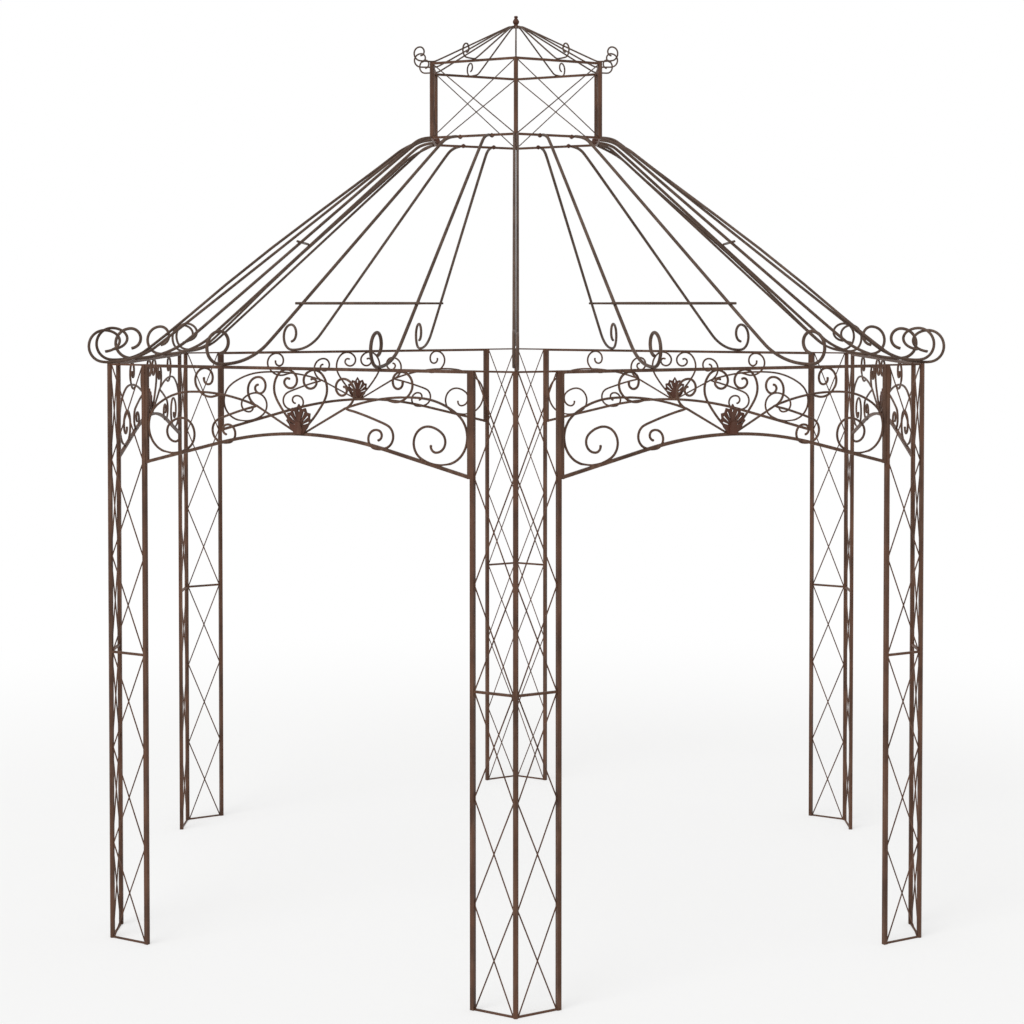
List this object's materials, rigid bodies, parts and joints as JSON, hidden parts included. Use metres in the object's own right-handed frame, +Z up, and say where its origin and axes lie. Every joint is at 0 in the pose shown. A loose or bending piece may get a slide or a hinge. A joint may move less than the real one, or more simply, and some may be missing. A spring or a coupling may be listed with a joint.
{
  "type": "garden pavilion",
  "caption": "Open hexagonal garden pavilion of antique brown iron, with lattice columns, scrolled arch panels, a ribbed roof with rolled eave ends and a small capped lantern.",
  "frame": {"origin": "centre of the hexagon, on the ground", "axes": "+Z up, +Y towards the back, -Y towards the front column, +X to the right"},
  "size_m": [3.4208, 3.9248, 3.8155],
  "materials": {
    "frame_iron": "antique brown coating, satin, worn lighter in streaks",
    "panel_iron": "antique brown coating, satin, worn on the edges",
    "rod_iron": "greyish brown coating, satin",
    "cast_iron": "rust brown coating on rough castings"
  },
  "bodies": {
    "root": {"front_column_post": "frame_iron", "front_column_left_lattice": "frame_iron", "front_column_right_lattice": "frame_iron", "front_twin_ribs": "rod_iron", "right_front_column_post": "frame_iron", "right_front_column_left_lattice": "frame_iron", "right_front_column_right_lattice": "frame_iron", "right_front_twin_ribs": "rod_iron", "right_back_column_post": "frame_iron", "right_back_column_left_lattice": "frame_iron", "right_back_column_right_lattice": "frame_iron", "right_back_twin_ribs": "rod_iron", "back_column_post": "frame_iron", "back_column_left_lattice": "frame_iron", "back_column_right_lattice": "frame_iron", "back_twin_ribs": "rod_iron", "left_back_column_post": "frame_iron", "left_back_column_left_lattice": "frame_iron", "left_back_column_right_lattice": "frame_iron", "left_back_twin_ribs": "rod_iron", "left_front_column_post": "frame_iron", "left_front_column_left_lattice": "frame_iron", "left_front_column_right_lattice": "frame_iron", "left_front_twin_ribs": "rod_iron", "front_right_arch_panel": "panel_iron", "front_right_side_ribs": "rod_iron", "right_arch_panel": "panel_iron", "right_side_ribs": "rod_iron", "back_right_arch_panel": "panel_iron", "back_right_side_ribs": "rod_iron", "back_left_arch_panel": "panel_iron", "back_left_side_ribs": "rod_iron", "left_arch_panel": "panel_iron", "left_side_ribs": "rod_iron", "front_left_arch_panel": "panel_iron", "front_left_side_ribs": "rod_iron", "arch_shells": "cast_iron", "roof_ties": "rod_iron", "lantern_posts": "frame_iron", "lantern_base_rails": "frame_iron", "lantern_top_rails": "frame_iron", "lantern_braces": "rod_iron", "cap_corner_ribs": "rod_iron", "cap_side_ribs": "rod_iron", "finial": "cast_iron"}
  },
  "joints": []
}
